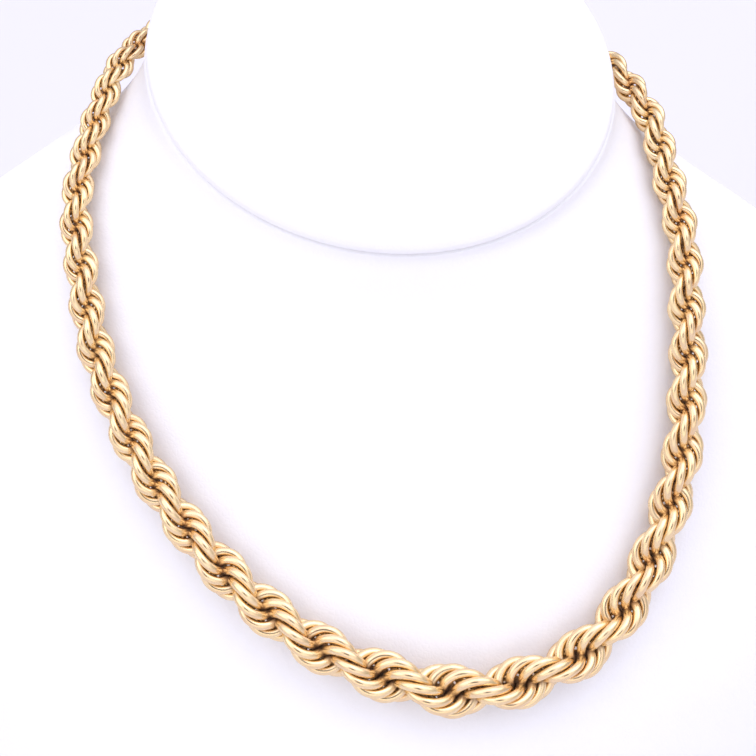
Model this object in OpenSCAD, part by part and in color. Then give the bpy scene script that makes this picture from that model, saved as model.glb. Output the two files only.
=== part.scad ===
// Rope chain lying on a plain neck bust. Millimetres, +Z up, front is -Y.

/* [Bust] */
// Width across the shoulders
bust_width = 211; // [150:1:280]
// Height of the middle of the neck panel above the base
neck_height = 166; // [130:1:220]
// Depth of the chest in front of the neck's axis
chest_depth = 96; // [70:1:130]
// Depth of the back behind the neck's axis
back_depth = 42; // [30:1:60]
// Tilt of the neck panel to the front, in degrees
panel_tilt = 30; // [15:1:40]
// Turn of the neck panel about the neck's axis, in degrees
panel_turn = -7; // [-15:1:15]

/* [Neck panel] */
// Thickness of the padded neck panel
panel_thick = 5; // [2.5:0.5:10]
// Width of the seam between the neck and its panel
seam_gap = 0.3; // [0.15:0.05:0.6]
// Rounding of the bust's edges at the seam and at the base
edge_round = 0.8; // [0.4:0.1:1.5]

/* [Rope] */
// Width of the rope at the middle of the front
rope_wide = 10.3; // [8:0.1:10.6]
// Width of the rope at its ends
rope_slim = 5.1; // [4.5:0.1:6]
// Length of rope from the middle over which it narrows
taper_length = 160; // [120:1:185]
// Thickness of a link's wire at the middle, as a share of the rope's width
wire_wide = 0.173; // [0.15:0.001:0.175]
// Thickness of a link's wire at the ends, as a share of the rope's width
wire_slim = 0.196; // [0.17:0.001:0.198]
// Step from link to link at the middle, as a share of the rope's width
step_wide = 0.21; // [0.21:0.001:0.23]
// Step from link to link at the ends, as a share of the rope's width
step_slim = 0.24; // [0.24:0.001:0.26]
// Length of half a turn of the rope at the middle, as a share of its width
half_turn_wide = 1.32; // [1.28:0.01:1.34]
// Length of half a turn of the rope at the ends, as a share of its width
half_turn_slim = 1.05; // [1.04:0.01:1.1]
// Half the opening of a link at the middle, in degrees
open_wide = 36; // [34:1:38]
// Half the opening of a link at the ends, in degrees
open_slim = 50; // [47:1:52]
// Turn of the first link about the rope, in degrees
start_turn = 95; // [0:5:175]
// Clearance between the rope and the bust
rope_gap = 0.35; // [0.2:0.05:1]
// Lift of the rope off the neck at the back, where the clasp lies
back_lift = 1; // [0.8:0.1:2]

/* [Clasp] */
// Length of the clasp along the rope
clasp_length = 24; // [18:1:32]
// Depth of the cup at each end of the clasp
cup_depth = 4; // [3:0.5:6]
// Wall of the cup at each end of the clasp
cup_wall = 0.7; // [0.5:0.1:1.2]
// Clearance between the rope and the cup
cup_gap = 0.3; // [0.2:0.05:0.5]

/* [Hidden] */

gold = [0.86, 0.68, 0.42];
white = [0.93, 0.93, 0.92];
around = 72;
crowding = 14;
levels_up = 26;
per_span = 8;
loop_up = [0, -0.55, 0.835];

// Sections of the bust, from the base to the neck panel. Columns:
// level as a share of neck_height,
// half width as a share of half bust_width,
// front depth as a share of chest_depth,
// back depth as a share of back_depth,
// slope as a share of panel_tilt,
// turn as a share of panel_turn,
// fullness of the back half (2 is an ellipse)
SECTIONS = [
    [0.000, 0.970, 1.000, 1.000, 0.000, 0.000, 2.00],
    [0.200, 1.000, 0.990, 1.000, 0.000, 0.000, 2.00],
    [0.400, 0.990, 0.885, 1.000, 0.000, 0.000, 2.00],
    [0.530, 0.960, 0.745, 0.975, 0.070, 0.000, 2.00],
    [0.660, 0.885, 0.575, 0.930, 0.130, 0.000, 1.85],
    [0.780, 0.750, 0.430, 0.800, 0.200, 0.000, 1.50],
    [0.860, 0.605, 0.357, 0.690, 0.330, 0.140, 1.40],
    [0.920, 0.485, 0.328, 0.660, 0.500, 0.290, 1.45],
    [0.967, 0.422, 0.318, 0.680, 0.800, 0.570, 1.60],
    [1.000, 0.411, 0.316, 0.725, 1.000, 1.000, 2.00]];

// Profile of the neck panel. Columns: height as a share of panel_thick,
// reach as a share of the neck's outline
PANEL = [
    [0.00, 0.972],
    [0.08, 0.988],
    [0.20, 0.995],
    [0.40, 0.985],
    [0.60, 0.960],
    [0.76, 0.925],
    [0.88, 0.880],
    [0.96, 0.825],
    [1.00, 0.750],
    [1.03, 0.600],
    [1.05, 0.400]];

// Way of the rope round the bust, from the back of the neck by the left side
// and the front to the back again. Columns: azimuth in degrees from the front,
// level as a share of neck_height, lift off the bust as a share of back_lift
ROUTE = [
    [-180, 0.887, 1.0],
    [-152, 0.894, 1.5],
    [-130, 0.905, 2.2],
    [-112, 0.940, 1.8],
    [-98, 0.948, 0.5],
    [-87.5, 0.923, 0.0],
    [-78, 0.890, 0.0],
    [-66, 0.835, 0.0],
    [-52, 0.749, 0.0],
    [-36.5, 0.665, 0.0],
    [-19, 0.588, 0.0],
    [-2, 0.5305, 0.0],
    [13, 0.4995, 0.0],
    [23, 0.503, 0.0],
    [33, 0.529, 0.0],
    [43, 0.5865, 0.0],
    [53, 0.6695, 0.0],
    [61, 0.7525, 0.0],
    [69, 0.8335, 0.0],
    [79.5, 0.902, 0.0],
    [91, 0.938, 0.2],
    [104, 0.946, 1.2],
    [120, 0.940, 2.2],
    [138, 0.915, 2.2],
    [158, 0.891, 1.5],
    [180, 0.887, 1.0]];
ROUTE_FRONT = 12;

// Columns of SECTIONS after the level
HALF_WIDTH = 1;
FRONT = 2;
BACK = 3;
SLOPE = 4;
TURN = 5;
FULLNESS = 6;

// Cubic through the sections for one column
function slope_at(c, k) = let(
    a = max(k - 1, 0),
    b = min(k + 1, len(SECTIONS) - 1))
    (SECTIONS[b][c] - SECTIONS[a][c]) / (SECTIONS[b][0] - SECTIONS[a][0]);
function span_of(u, k = 0) =
    k >= len(SECTIONS) - 2 || u < SECTIONS[k + 1][0] ? k : span_of(u, k + 1);
function column(c, u) = let(
    v = min(max(u, 0), 1),
    k = span_of(v),
    d = SECTIONS[k + 1][0] - SECTIONS[k][0],
    t = (v - SECTIONS[k][0]) / d)
    SECTIONS[k][c] * (2 * t * t * t - 3 * t * t + 1)
    + slope_at(c, k) * d * (t * t * t - 2 * t * t + t)
    + SECTIONS[k + 1][c] * (3 * t * t - 2 * t * t * t)
    + slope_at(c, k + 1) * d * (t * t * t - t * t);

// Reach of the bust at azimuth p from the front and level u
function reach(p, u) = let(
    a = p - panel_turn * column(TURN, u),
    s = abs(sin(a)) / (column(HALF_WIDTH, u) * bust_width / 2),
    front = cos(a) > 0,
    d = front ? column(FRONT, u) * chest_depth : column(BACK, u) * back_depth,
    f = front ? 2 : column(FULLNESS, u),
    c = abs(cos(a)) / d)
    pow(pow(s, f) + pow(c, f), -1 / f);
function skin(p, u, share = 1) = let(
    r = reach(p, u) * share,
    y = -r * cos(p))
    [r * sin(p), y, u * neck_height + y * tan(panel_tilt * column(SLOPE, u))];
function unit(v) = v / norm(v);
function outward(p, u) = unit(cross(
    skin(p + 0.1, u) - skin(p - 0.1, u),
    skin(p, u + 0.0005) - skin(p, u - 0.0005)));

// Solid from rings of points, closed by a point at each end
function fan(n, tip, ring, up) = [for (k = [0:n - 1])
    up ? [tip, ring + (k + 1) % n, ring + k] : [tip, ring + k, ring + (k + 1) % n]];
function wall(n, rows) = [for (j = [0:rows - 2], k = [0:n - 1], h = [0, 1])
    h == 0
    ? [j * n + k, j * n + (k + 1) % n, (j + 1) * n + k]
    : [j * n + (k + 1) % n, (j + 1) * n + (k + 1) % n, (j + 1) * n + k]];
module rings_solid(rings, low, high) {
    n = len(rings[0]);
    rows = len(rings);
    points = concat([for (r = rings, p = r) p], [low, high]);
    faces = concat(
        wall(n, rows),
        fan(n, rows * n, 0, true),
        fan(n, rows * n + 1, (rows - 1) * n, false));
    polyhedron(points, [for (f = faces) [f[2], f[1], f[0]]], convexity = 6);
}
azimuths = [for (k = [0:around - 1]) let(q = 360 * k / around - 180)
    q + crowding * sin(2 * q)];

// Bust
body_levels = [for (k = [1:levels_up - 1]) k / levels_up];
round_u = edge_round / neck_height;
module bust_body() {
    color(white)
    rings_solid(
        concat(
            [[for (p = azimuths) skin(p, 0, 1 - 2 * round_u)]],
            [[for (p = azimuths) skin(p, round_u)]],
            [for (u = body_levels) [for (p = azimuths) skin(p, u)]],
            [[for (p = azimuths) skin(p, 1 - round_u)]],
            [[for (p = azimuths) skin(p, 1, 1 - 3 * round_u)]]),
        [0, 0, 0],
        [0, 0, neck_height]);
}

// Neck panel
panel_up = [0, -sin(panel_tilt), cos(panel_tilt)];
function panel_point(p, row) = skin(p, 1, row[1])
    + panel_up * (seam_gap + row[0] * panel_thick);
module neck_panel() {
    color(white)
    rings_solid(
        [for (row = PANEL) [for (p = azimuths) panel_point(p, row)]],
        [0, 0, neck_height] + panel_up * seam_gap,
        [0, 0, neck_height] + panel_up * (seam_gap + 1.06 * panel_thick));
}

// Line of the rope: points on the route, then the length along them
function blend(a, b, c, d, t) = 0.5 * (2 * b + (c - a) * t
    + (2 * a - 5 * b + 4 * c - d) * t * t
    + (3 * b - a - 3 * c + d) * t * t * t);
last = len(ROUTE) - 1;
round_once = [360, 0, 0];
before = ROUTE[last - 1] - round_once;
after = ROUTE[1] + round_once;
function knot(k) = k < 0 ? before : k > last ? after : ROUTE[k];
way = concat(
    [for (k = [0:last - 1], j = [0:per_span - 1])
        blend(knot(k - 1), knot(k), knot(k + 1), knot(k + 2), j / per_span)],
    [ROUTE[last]]);
function lengths(pts, k = 0, s = 0, out = []) = k == len(pts)
    ? out
    : lengths(pts, k + 1, k + 1 == len(pts) ? s : s + norm(pts[k + 1] - pts[k]), concat(out, [s]));
function line_at(widths) = [for (k = [0:len(way) - 1]) let(w = way[k])
    skin(w[0], w[1]) + outward(w[0], w[1]) * (widths[k] / 2 + rope_gap + back_lift * w[2])];
function centred(lens) = [for (s = lens) s - lens[ROUTE_FRONT * per_span]];
function width(s) = rope_wide
    - (rope_wide - rope_slim) * min(abs(s) / taper_length, 1);
first_line = line_at([for (w = way) (rope_wide + rope_slim) / 2]);
first_s = centred(lengths(first_line));
line = line_at([for (s = first_s) width(s)]);
line_s = centred(lengths(line));
table_x = [for (k = [0:len(line) - 1]) [line_s[k], line[k][0]]];
table_y = [for (k = [0:len(line) - 1]) [line_s[k], line[k][1]]];
table_z = [for (k = [0:len(line) - 1]) [line_s[k], line[k][2]]];
s_start = line_s[0];
s_end = line_s[len(line) - 1];
loop_length = s_end - s_start;
function wrap(s) = s < s_start ? s + loop_length : s > s_end ? s - loop_length : s;
function at(s) = let(q = wrap(s)) [lookup(q, table_x), lookup(q, table_y), lookup(q, table_z)];

// Links
function share(s) = (width(s) - rope_slim) / (rope_wide - rope_slim);
function mix(low, high, s) = low + (high - low) * share(s);
function step(s) = width(s) * mix(step_slim, step_wide, s);
function half_turn(s) = width(s) * mix(half_turn_slim, half_turn_wide, s);
function wire(s) = width(s) * mix(wire_slim, wire_wide, s);
function opening(s) = mix(open_slim, open_wide, s);
rope_start = s_start + clasp_length / 2 - cup_depth + cup_gap + rope_slim / 2;
rope_end = s_end - clasp_length / 2 + cup_depth - cup_gap - rope_slim / 2;
LINKS = [for (s = rope_start, a = start_turn; s <= rope_end;
    a = a + 180 * step(s) / half_turn(s), s = s + step(s)) [s, a]];
module place(p, x, y) {
    z = cross(x, y);
    multmatrix([
        [x[0], y[0], z[0], p[0]],
        [x[1], y[1], z[1], p[1]],
        [x[2], y[2], z[2], p[2]],
        [0, 0, 0, 1]])
        children();
}
module link(s, a) {
    w = wire(s);
    g = opening(s);
    t = unit(at(s + width(s) / 3) - at(s - width(s) / 3));
    n = unit(loop_up - t * (t * loop_up));
    e = n * cos(a) + cross(t, n) * sin(a);
    place(at(s), t, e)
        rotate([0, 0, g - 180])
            rotate_extrude(angle = 360 - 2 * g, $fn = 48)
                translate([(width(s) - w) / 2, 0])
                    circle(w / 2, $fn = 24);
}
module rope_chain() {
    color(gold)
    for (k = LINKS) link(k[0], k[1]);
}

// Clasp: one curved barrel with a cup at each end, on the circle through
// three points of the rope's line
clasp_a = at(s_start + clasp_length / 2);
clasp_b = at(s_end - clasp_length / 2);
clasp_m = at(s_start);
chord = clasp_b - clasp_a;
middle = (clasp_a + clasp_b) / 2;
rise = clasp_m - middle;
bow = norm(rise);
clasp_r = (norm(chord) * norm(chord) / 4 + bow * bow) / (2 * bow);
clasp_angle = 2 * asin(norm(chord) / 2 / clasp_r);
cup_angle = cup_depth / clasp_r * 180 / PI;
cup_r = rope_slim / 2 + cup_gap;
module arc_piece(from, to, r) {
    rotate([0, 0, from])
        rotate_extrude(angle = to - from, $fn = 96)
            translate([clasp_r, 0]) circle(r, $fn = 40);
}
module clasp() {
    up = unit(rise);
    side = unit(chord - up * (up * chord));
    color(gold)
    place(clasp_m - up * clasp_r, up, side)
        difference() {
            arc_piece(-clasp_angle / 2, clasp_angle / 2, cup_r + cup_wall);
            arc_piece(-clasp_angle / 2 - 2, -clasp_angle / 2 + cup_angle, cup_r);
            arc_piece(clasp_angle / 2 - cup_angle, clasp_angle / 2 + 2, cup_r);
        }
}

bust_body();
neck_panel();
rope_chain();
clasp();
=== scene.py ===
import math
import random

import bpy
import numpy as np
from mathutils import Matrix, Vector


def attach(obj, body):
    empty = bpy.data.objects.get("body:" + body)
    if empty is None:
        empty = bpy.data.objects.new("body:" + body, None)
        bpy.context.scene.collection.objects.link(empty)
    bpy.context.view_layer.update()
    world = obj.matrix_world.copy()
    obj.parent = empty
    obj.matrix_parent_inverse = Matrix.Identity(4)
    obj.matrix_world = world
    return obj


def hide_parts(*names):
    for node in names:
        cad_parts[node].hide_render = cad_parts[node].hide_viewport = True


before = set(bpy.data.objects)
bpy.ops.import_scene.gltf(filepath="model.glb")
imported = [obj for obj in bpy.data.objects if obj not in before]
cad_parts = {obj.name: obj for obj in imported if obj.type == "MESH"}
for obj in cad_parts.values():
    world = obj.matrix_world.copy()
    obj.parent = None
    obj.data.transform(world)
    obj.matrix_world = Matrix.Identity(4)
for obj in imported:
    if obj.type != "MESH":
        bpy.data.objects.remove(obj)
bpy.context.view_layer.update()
MM = 0.001

# Sizes of the bust and the rope, in millimetres and degrees, as in the part's source
BUST_WIDTH = 211.0
NECK_HEIGHT = 166.0
CHEST_DEPTH = 96.0
BACK_DEPTH = 42.0
PANEL_TILT = 30.0
PANEL_TURN = -7.0
PANEL_THICK = 5.0
SEAM_GAP = 0.3
EDGE_ROUND = 0.8
ROPE_WIDE = 10.3
ROPE_SLIM = 5.1
TAPER_LENGTH = 160.0
ROPE_GAP = 0.35
CLASP_LENGTH = 24.0
CUP_DEPTH = 4.0
CUP_GAP = 0.3

# level, half width, front depth, back depth, slope, turn, fullness of the back
SECTIONS = np.array([
    [0.000, 0.970, 1.000, 1.000, 0.000, 0.000, 2.00],
    [0.200, 1.000, 0.990, 1.000, 0.000, 0.000, 2.00],
    [0.400, 0.990, 0.885, 1.000, 0.000, 0.000, 2.00],
    [0.530, 0.960, 0.745, 0.975, 0.070, 0.000, 2.00],
    [0.660, 0.885, 0.575, 0.930, 0.130, 0.000, 1.85],
    [0.780, 0.750, 0.430, 0.800, 0.200, 0.000, 1.50],
    [0.860, 0.605, 0.357, 0.690, 0.330, 0.140, 1.40],
    [0.920, 0.485, 0.328, 0.660, 0.500, 0.290, 1.45],
    [0.967, 0.422, 0.318, 0.680, 0.800, 0.570, 1.60],
    [1.000, 0.411, 0.316, 0.725, 1.000, 1.000, 2.00]])
HALF_WIDTH, FRONT, BACK, SLOPE, TURN, FULLNESS = 1, 2, 3, 4, 5, 6

# height as a share of the panel's thickness, reach as a share of the neck's outline
PANEL = np.array([
    [0.00, 0.972], [0.08, 0.988], [0.20, 0.995], [0.40, 0.985],
    [0.60, 0.960], [0.76, 0.925], [0.88, 0.880], [0.96, 0.825],
    [1.00, 0.750], [1.03, 0.600], [1.05, 0.400], [1.06, 0.0]])

# azimuth in degrees, level, lift in millimetres
ROUTE = np.array([
    [-180, 0.887, 1.0], [-152, 0.894, 1.5], [-130, 0.905, 2.2], [-112, 0.940, 1.8],
    [-98, 0.948, 0.5], [-87.5, 0.923, 0.0], [-78, 0.890, 0.0], [-66, 0.835, 0.0],
    [-52, 0.749, 0.0], [-36.5, 0.665, 0.0], [-19, 0.588, 0.0], [-2, 0.5305, 0.0],
    [13, 0.4995, 0.0], [23, 0.503, 0.0], [33, 0.529, 0.0], [43, 0.5865, 0.0],
    [53, 0.6695, 0.0], [61, 0.7525, 0.0], [69, 0.8335, 0.0], [79.5, 0.902, 0.0],
    [91, 0.938, 0.2], [104, 0.946, 1.2], [120, 0.940, 2.2], [138, 0.915, 2.2],
    [158, 0.891, 1.5], [180, 0.887, 1.0]])
ROUTE_FRONT = 12
PER_SPAN = 8

# Shares of the rope's width, at its widest and at its slimmest
WIRE_WIDE, WIRE_SLIM = 0.173, 0.196
STEP_WIDE, STEP_SLIM = 0.210, 0.240
HALF_TURN_WIDE, HALF_TURN_SLIM = 1.32, 1.05
START_TURN = 95.0
LOOP_UP = np.array([0, -0.55, 0.835])
# the rope's direction at a link is read over this part of its width to each side
CHORD_PART = 3

# The links as they are drawn
ARC_STEPS = 36
WIRE_SIDES = 11
WIRE_FILL = 1.05
SEED = 7
TURN_SPREAD = 2.0
TILT_SPREAD = 1.5

# Steps of the bust's meshes
AROUND = 180
COLUMN_SHIFT = 14
BUST_ROWS = 96
CORNER_STEPS = 4
PANEL_ROWS = 40
ROUND_U = EDGE_ROUND / NECK_HEIGHT
# small steps over which the skin's slope is read, in degrees and in level
SMALL_TURN, SMALL_LEVEL = 0.1, 0.0005

# Camera, in metres and degrees
CAMERA_TILT = 45.0
CAMERA_ROLL = 2.0
CAMERA_DISTANCE = 0.473
CAMERA_TARGET = Vector((0.00165, -0.0396, 0.1265))
SENSOR_WIDTH = 36.0
LENS_LENGTH = 122.86
CLIP_START = 0.01

# Floor and lights: name, place, side of the square, power
FLOOR_HALF = 20.0
LIGHT_AIM = (0, -0.03, 0.12)
LIGHTS = (("key", (0.55, 0.1, 1.0), 0.9, 2.4),
          ("overhead", (0.0, 0.1, 1.1), 0.9, 0.6),
          ("fill", (-0.75, -0.35, 0.75), 0.8, 1.7))
FRONT_LIGHT = (0.87, 0.86, 0.93)
UPPER_LIGHT = (0.98, 0.96, 1.26)
WALL_LIGHT = (0.52, 0.52, 0.53)


# Bust surface, as in the part's source
def column(c, u):
    """One column of SECTIONS at level u, along a smooth curve."""
    x, y = SECTIONS[:, 0], SECTIONS[:, c]
    m = np.empty_like(y)
    m[1:-1] = (y[2:] - y[:-2]) / (x[2:] - x[:-2])
    m[0] = (y[1] - y[0]) / (x[1] - x[0])
    m[-1] = (y[-1] - y[-2]) / (x[-1] - x[-2])
    v = np.clip(u, 0, 1)
    k = np.clip(np.searchsorted(x, v, side="right") - 1, 0, len(x) - 2)
    d = x[k + 1] - x[k]
    t = (v - x[k]) / d
    return (y[k] * (2 * t**3 - 3 * t**2 + 1) + m[k] * d * (t**3 - 2 * t**2 + t)
            + y[k + 1] * (3 * t**2 - 2 * t**3) + m[k + 1] * d * (t**3 - t**2))


def reach(p, u):
    """Distance from the neck's axis to the skin, at azimuth p and level u."""
    a = np.radians(p - PANEL_TURN * column(TURN, u))
    s = np.abs(np.sin(a)) / (column(HALF_WIDTH, u) * BUST_WIDTH / 2)
    front = np.cos(a) > 0
    d = np.where(front, column(FRONT, u) * CHEST_DEPTH, column(BACK, u) * BACK_DEPTH)
    f = np.where(front, 2.0, column(FULLNESS, u))
    return (s**f + (np.abs(np.cos(a)) / d)**f)**(-1 / f)


def skin(p, u, share=1.0):
    p, u = np.broadcast_arrays(np.asarray(p, float), np.asarray(u, float))
    r = reach(p, u) * share
    y = -r * np.cos(np.radians(p))
    z = u * NECK_HEIGHT + y * np.tan(np.radians(PANEL_TILT * column(SLOPE, u)))
    return np.stack([r * np.sin(np.radians(p)), y, z], -1)


def unit(v):
    return v / np.linalg.norm(v, axis=-1, keepdims=True)


def outward(p, u):
    return unit(np.cross(skin(p + SMALL_TURN, u) - skin(p - SMALL_TURN, u),
                         skin(p, u + SMALL_LEVEL) - skin(p, u - SMALL_LEVEL)))


# Line of the rope
def rope_width(s):
    return ROPE_WIDE - (ROPE_WIDE - ROPE_SLIM) * np.minimum(np.abs(s) / TAPER_LENGTH, 1)


def rope_line():
    """Points of the rope's middle line and their distance from its front."""
    n = len(ROUTE)
    whole_turn = np.array([360.0, 0, 0])
    knots = np.vstack([ROUTE[n - 2] - whole_turn, ROUTE, ROUTE[1] + whole_turn])
    way = []
    for k in range(n - 1):
        a, b, c, d = knots[k:k + 4]
        for j in range(PER_SPAN):
            t = j / PER_SPAN
            way.append(0.5 * (2 * b + (c - a) * t + (2 * a - 5 * b + 4 * c - d) * t * t
                              + (3 * b - a - 3 * c + d) * t**3))
    way = np.array(way + [ROUTE[-1]])
    base, out = skin(way[:, 0], way[:, 1]), outward(way[:, 0], way[:, 1])
    width = np.full(len(way), (ROPE_WIDE + ROPE_SLIM) / 2)
    for _ in range(2):
        pts = base + out * (width / 2 + ROPE_GAP + way[:, 2])[:, None]
        s = np.r_[0, np.cumsum(np.linalg.norm(np.diff(pts, axis=0), axis=1))]
        s = s - s[ROUTE_FRONT * PER_SPAN]
        width = rope_width(s)
    return pts, s


LINE, LINE_S = rope_line()
S_START, S_END = LINE_S[0], LINE_S[-1]


def at(s):
    q = (s - S_START) % (S_END - S_START) + S_START
    return np.array([np.interp(q, LINE_S, LINE[:, i]) for i in range(3)])


def links():
    """Place, turn, width and wire of each link, from one cup of the clasp to the other."""
    out = []
    s = S_START + CLASP_LENGTH / 2 - CUP_DEPTH + CUP_GAP + ROPE_SLIM / 2
    end = S_END - CLASP_LENGTH / 2 + CUP_DEPTH - CUP_GAP - ROPE_SLIM / 2
    a = START_TURN
    while s <= end:
        w = rope_width(s)
        f = (w - ROPE_SLIM) / (ROPE_WIDE - ROPE_SLIM)
        step = w * (STEP_SLIM + (STEP_WIDE - STEP_SLIM) * f)
        half_turn = w * (HALF_TURN_SLIM + (HALF_TURN_WIDE - HALF_TURN_SLIM) * f)
        wire = w * (WIRE_SLIM + (WIRE_WIDE - WIRE_SLIM) * f)
        out.append((s, a, w, wire))
        a += 180 * step / half_turn
        s += step
    return out


# Meshes
def mesh_object(name, verts, faces, attrs=None):
    """A smooth-shaded object from points in millimetres."""
    me = bpy.data.meshes.new(name)
    me.from_pydata([tuple(v) for v in np.asarray(verts) * MM], [], faces)
    me.update()
    me.polygons.foreach_set("use_smooth", [True] * len(me.polygons))
    for key, values in (attrs or {}).items():
        layer = me.attributes.new(key, "FLOAT", "POINT")
        layer.data.foreach_set("value", np.asarray(values, dtype=np.float32))
    ob = bpy.data.objects.new(name, me)
    bpy.context.scene.collection.objects.link(ob)
    return ob


def loft(rings, low, high):
    """Skin over rings of equal length, closed by a fan to the points low and high."""
    rows, n = len(rings), len(rings[0])
    verts = [tuple(p) for r in rings for p in r] + [tuple(low), tuple(high)]
    faces = []
    for j in range(rows - 1):
        for k in range(n):
            k2 = (k + 1) % n
            faces.append((j * n + k, j * n + k2, (j + 1) * n + k2, (j + 1) * n + k))
    for k in range(n):
        k2 = (k + 1) % n
        faces.append((rows * n, k2, k))
        faces.append((rows * n + 1, (rows - 1) * n + k, (rows - 1) * n + k2))
    return verts, faces


def build_rope():
    rng = random.Random(SEED)
    verts, faces, outer, tint = [], [], [], []
    for s, a, w, wire in links():
        t = unit(at(s + w / CHORD_PART) - at(s - w / CHORD_PART))
        n = unit(LOOP_UP - t * (t @ LOOP_UP))
        a = math.radians(a + rng.uniform(-TURN_SPREAD, TURN_SPREAD))
        e = n * math.cos(a) + np.cross(t, n) * math.sin(a)
        z = np.cross(t, e)
        tilt = math.radians(rng.uniform(-TILT_SPREAD, TILT_SPREAD))
        x = t * math.cos(tilt) + z * math.sin(tilt)
        z = np.cross(x, e)
        r = wire * WIRE_FILL / 2
        ring_radius = w / 2 - r
        centre = at(s)
        base = len(verts)
        shade = rng.random()
        for i in range(ARC_STEPS):
            q = 2 * math.pi * i / ARC_STEPS
            spoke = math.cos(q) * x + math.sin(q) * e
            for j in range(WIRE_SIDES):
                v = 2 * math.pi * j / WIRE_SIDES
                p = centre + spoke * (ring_radius + r * math.cos(v)) + z * (r * math.sin(v))
                verts.append(p)
                off = p - centre
                off = off - t * (off @ t)
                outer.append(np.linalg.norm(off) / (w / 2))
                tint.append(shade)
        for i in range(ARC_STEPS):
            i2 = (i + 1) % ARC_STEPS
            for j in range(WIRE_SIDES):
                j2 = (j + 1) % WIRE_SIDES
                faces.append((base + i * WIRE_SIDES + j, base + i * WIRE_SIDES + j2,
                              base + i2 * WIRE_SIDES + j2, base + i2 * WIRE_SIDES + j))
    return mesh_object("rope_links", verts, faces, attrs={"outer": outer, "tint": tint})


def azimuths():
    q = np.arange(AROUND) * 360 / AROUND - 180
    return q + COLUMN_SHIFT * np.sin(np.radians(2 * q))


def build_bust():
    p = azimuths()
    corner = [math.radians(90 * k / CORNER_STEPS) for k in range(CORNER_STEPS + 1)]
    rings = []
    for b in corner:
        rings.append(skin(p, ROUND_U * (1 - math.cos(b)),
                          1 - 2 * ROUND_U * (1 - math.sin(b))))
    for u in np.linspace(ROUND_U * 1.5, 1 - 2 * ROUND_U, BUST_ROWS):
        rings.append(skin(p, u))
    for b in corner:
        rings.append(skin(p, 1 - ROUND_U * (1 - math.sin(b)),
                          1 - 3 * ROUND_U * (1 - math.cos(b))))
    verts, faces = loft(rings, (0, 0, 0), (0, 0, NECK_HEIGHT))
    return mesh_object("bust_skin", verts, faces)


def build_panel():
    p = azimuths()
    up = np.array([0, -math.sin(math.radians(PANEL_TILT)), math.cos(math.radians(PANEL_TILT))])
    middle = np.array([0, 0, NECK_HEIGHT])
    rows = np.arange(len(PANEL))
    rings = []
    for q in np.linspace(0, len(PANEL) - 2, PANEL_ROWS):
        h, r = np.interp(q, rows, PANEL[:, 0]), np.interp(q, rows, PANEL[:, 1])
        rings.append(skin(p, 1.0, r) + up * (SEAM_GAP + h * PANEL_THICK))
    verts, faces = loft(rings, middle + up * SEAM_GAP,
                        middle + up * (SEAM_GAP + PANEL[-1, 0] * PANEL_THICK))
    return mesh_object("panel_pad", verts, faces)


# Materials
def new_material(name):
    mat = bpy.data.materials.new(name)
    mat.use_nodes = True
    tree = mat.node_tree
    return mat, tree.nodes, tree.links, tree.nodes["Principled BSDF"]


def ramp(nodes, points):
    r = nodes.new("ShaderNodeValToRGB")
    while len(r.color_ramp.elements) < len(points):
        r.color_ramp.elements.new(0.5)
    for el, (pos, col) in zip(r.color_ramp.elements, points):
        el.position = pos
        el.color = (*col, 1)
    return r


def noise(nodes, lk, coord, scale, detail):
    node = nodes.new("ShaderNodeTexNoise")
    node.inputs["Scale"].default_value = scale
    node.inputs["Detail"].default_value = detail
    lk.new(coord.outputs["Object"], node.inputs["Vector"])
    return node


def map_range(nodes, lk, value, to_min, to_max, from_min=0.0, from_max=1.0):
    node = nodes.new("ShaderNodeMapRange")
    node.inputs["From Min"].default_value = from_min
    node.inputs["From Max"].default_value = from_max
    node.inputs["To Min"].default_value = to_min
    node.inputs["To Max"].default_value = to_max
    lk.new(value, node.inputs["Value"])
    return node


def mix_colour(nodes, lk, amount, colour, other):
    node = nodes.new("ShaderNodeMix")
    node.data_type = "RGBA"
    node.inputs["B"].default_value = (*other, 1)
    lk.new(amount, node.inputs["Factor"])
    lk.new(colour, node.inputs["A"])
    return node.outputs["Result"]


def attribute(nodes, name):
    node = nodes.new("ShaderNodeAttribute")
    node.attribute_name = name
    return node.outputs["Fac"]


def add_bump(nodes, lk, bsdf, height, strength):
    node = nodes.new("ShaderNodeBump")
    node.inputs["Strength"].default_value = strength
    node.inputs["Distance"].default_value = 0.0002
    lk.new(height, node.inputs["Height"])
    lk.new(node.outputs["Normal"], bsdf.inputs["Normal"])


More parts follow.
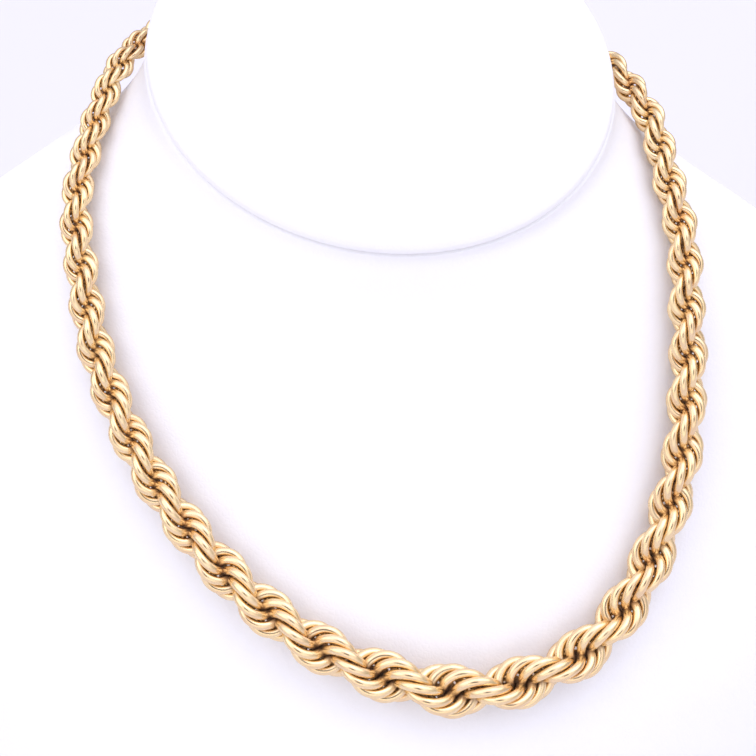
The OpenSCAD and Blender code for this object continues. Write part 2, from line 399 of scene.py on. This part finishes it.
def gold_material(name, rope=True):
    """Polished gold; on the rope each link has its own tone, and painted shade darkens the
    inside of the rope towards its axis.
    """
    mat, nodes, lk, bsdf = new_material(name)
    bsdf.inputs["Metallic"].default_value = 1.0
    coord = nodes.new("ShaderNodeTexCoord")
    patch = noise(nodes, lk, coord, 260.0, 3.0)
    tone = ramp(nodes, [(0.32, (0.86, 0.62, 0.355)), (0.52, (0.92, 0.70, 0.395)),
                        (0.72, (0.93, 0.73, 0.44))])
    lk.new(patch.outputs["Fac"], tone.inputs["Fac"])
    colour = tone.outputs["Color"]
    rough = map_range(nodes, lk, patch.outputs["Fac"], 0.18, 0.34).outputs["Result"]
    if rope:
        amount = map_range(nodes, lk, attribute(nodes, "tint"), 0.0, 0.35)
        colour = mix_colour(nodes, lk, amount.outputs["Result"], colour, (0.80, 0.565, 0.36))
        # painted shade: the colour darkens towards the rope's axis, where the wires shade each
        # other; the same mask makes the inside rougher
        painted_shade_inside = map_range(nodes, lk, attribute(nodes, "outer"), 1.0, 0.0, 0.15, 0.48)
        painted_shade_inside.interpolation_type = "SMOOTHSTEP"
        colour = mix_colour(nodes, lk, painted_shade_inside.outputs["Result"], colour, (0.34, 0.22, 0.145))
        add = nodes.new("ShaderNodeMath")
        add.operation = "MULTIPLY_ADD"
        add.inputs[1].default_value = 0.25
        lk.new(painted_shade_inside.outputs["Result"], add.inputs[0])
        lk.new(rough, add.inputs[2])
        rough = add.outputs["Value"]
    lk.new(colour, bsdf.inputs["Base Color"])
    lk.new(rough, bsdf.inputs["Roughness"])
    fine = noise(nodes, lk, coord, 900.0, 4.0)
    add_bump(nodes, lk, bsdf, fine.outputs["Fac"], 0.05)
    return mat


def leatherette_material():
    """White leatherette with a fine pebble grain."""
    mat, nodes, lk, bsdf = new_material("white_leatherette")
    coord = nodes.new("ShaderNodeTexCoord")
    wobble = noise(nodes, lk, coord, 500.0, 2.0)
    shift = nodes.new("ShaderNodeVectorMath")
    shift.operation = "MULTIPLY_ADD"
    shift.inputs[1].default_value = (0.0012, 0.0012, 0.0012)
    lk.new(wobble.outputs["Color"], shift.inputs[0])
    lk.new(coord.outputs["Object"], shift.inputs[2])
    cells = nodes.new("ShaderNodeTexVoronoi")
    cells.feature = "DISTANCE_TO_EDGE"
    cells.inputs["Scale"].default_value = 1100.0
    lk.new(shift.outputs["Vector"], cells.inputs["Vector"])
    grain = map_range(nodes, lk, cells.outputs["Distance"], 0.0, 1.0, from_max=0.25)
    broad = noise(nodes, lk, coord, 22.0, 2.0)
    tone = ramp(nodes, [(0.3, (0.905, 0.90, 0.915)), (0.7, (0.93, 0.925, 0.935))])
    lk.new(broad.outputs["Fac"], tone.inputs["Fac"])
    lk.new(tone.outputs["Color"], bsdf.inputs["Base Color"])
    rough = map_range(nodes, lk, grain.outputs["Result"], 0.52, 0.40)
    lk.new(rough.outputs["Result"], bsdf.inputs["Roughness"])
    add_bump(nodes, lk, bsdf, grain.outputs["Result"], 0.12)
    return mat


def floor_material():
    mat, _, _, bsdf = new_material("pale_floor")
    bsdf.inputs["Base Color"].default_value = (0.745, 0.735, 0.80, 1)
    bsdf.inputs["Roughness"].default_value = 0.8
    return mat


# Pieces
gold = gold_material("yellow_gold")
gold_plain = gold_material("yellow_gold_clasp", rope=False)
leatherette = leatherette_material()

rope = build_rope()
rope.data.materials.append(gold)
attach(rope, "root")
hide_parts("rope_chain")

bust = build_bust()
bust.data.materials.append(leatherette)
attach(bust, "root")
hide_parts("bust_body")

panel = build_panel()
panel.data.materials.append(leatherette)
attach(panel, "root")
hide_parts("neck_panel")

for node, mat in (("clasp", gold_plain), ("rope_chain", gold_plain),
                  ("bust_body", leatherette), ("neck_panel", leatherette)):
    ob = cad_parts[node]
    ob.data.materials.clear()
    ob.data.materials.append(mat)

# Floor
floor_mesh = bpy.data.meshes.new("floor")
floor_mesh.from_pydata([(-FLOOR_HALF, -FLOOR_HALF, 0), (FLOOR_HALF, -FLOOR_HALF, 0),
                        (FLOOR_HALF, FLOOR_HALF, 0), (-FLOOR_HALF, FLOOR_HALF, 0)],
                       [], [(0, 1, 2, 3)])
floor = bpy.data.objects.new("floor", floor_mesh)
bpy.context.scene.collection.objects.link(floor)
floor.data.materials.append(floor_material())

# Camera
tilt_angle = math.radians(CAMERA_TILT)
roll_angle = math.radians(CAMERA_ROLL)
toward = Vector((0, -math.cos(tilt_angle), math.sin(tilt_angle)))
level_right = Vector((1, 0, 0))
level_up = toward.cross(level_right)
cam_right = level_right * math.cos(roll_angle) + level_up * math.sin(roll_angle)
cam_up = toward.cross(cam_right)
pose = Matrix((cam_right, cam_up, toward)).transposed().to_4x4()
pose.translation = CAMERA_TARGET + toward * CAMERA_DISTANCE
cam = bpy.data.cameras.new("camera")
cam.sensor_width = SENSOR_WIDTH
cam.lens = LENS_LENGTH
cam.clip_start = CLIP_START
camera = bpy.data.objects.new("camera", cam)
bpy.context.scene.collection.objects.link(camera)
camera.matrix_world = pose
bpy.context.scene.camera = camera


# Lights
def area_light(name, place, side, power):
    data = bpy.data.lights.new(name, "AREA")
    data.shape = "RECTANGLE"
    data.size, data.size_y = side, side
    data.energy = power
    ob = bpy.data.objects.new(name, data)
    bpy.context.scene.collection.objects.link(ob)
    ob.location = place
    ob.rotation_euler = (Vector(LIGHT_AIM) - Vector(place)).to_track_quat("-Z", "Y").to_euler()


for light_name, light_place, light_side, light_power in LIGHTS:
    area_light(light_name, light_place, light_side, light_power)

world = bpy.data.worlds.new("studio")
bpy.context.scene.world = world
world.use_nodes = True
wn, wl = world.node_tree.nodes, world.node_tree.links
wcoord = wn.new("ShaderNodeTexCoord")


def vector_math(operation, first, second):
    """Each operand is another node's output or a plain vector."""
    node = wn.new("ShaderNodeVectorMath")
    node.operation = operation
    for socket, value in zip(node.inputs, (first, second)):
        if isinstance(value, tuple):
            socket.default_value = value
        else:
            wl.new(value, socket)
    return node


def lobe(axis, colour):
    """Light that grows towards one side of the room."""
    dot = vector_math("DOT_PRODUCT", wcoord.outputs["Generated"], axis)
    above = wn.new("ShaderNodeMath")
    above.operation = "MAXIMUM"
    above.inputs[1].default_value = 0.0
    wl.new(dot.outputs["Value"], above.inputs[0])
    square = wn.new("ShaderNodeMath")
    square.operation = "POWER"
    square.inputs[1].default_value = 2.0
    wl.new(above.outputs["Value"], square.inputs[0])
    out = wn.new("ShaderNodeVectorMath")
    out.operation = "SCALE"
    out.inputs[0].default_value = colour
    wl.new(square.outputs["Value"], out.inputs["Scale"])
    return out.outputs["Vector"]


room = vector_math("ADD", lobe((0, -1, 0), FRONT_LIGHT), lobe((0, 0, 1), UPPER_LIGHT))
walls = vector_math("ADD", room.outputs["Vector"], WALL_LIGHT)
# the dark front of the camera, which the polished wire mirrors
lens = vector_math("DOT_PRODUCT", wcoord.outputs["Generated"], tuple(toward))
spot = ramp(wn, [(0.0, (1, 1, 1)), (0.955, (1, 1, 1)), (0.966, (0.03, 0.03, 0.03))])
wl.new(lens.outputs["Value"], spot.inputs["Fac"])
light = vector_math("MULTIPLY", walls.outputs["Vector"], spot.outputs["Color"])
wl.new(light.outputs["Vector"], wn["Background"].inputs["Color"])
wn["Background"].inputs["Strength"].default_value = 1.0

bpy.context.scene.view_settings.view_transform = "Standard"
bpy.context.scene.view_settings.look = "None"
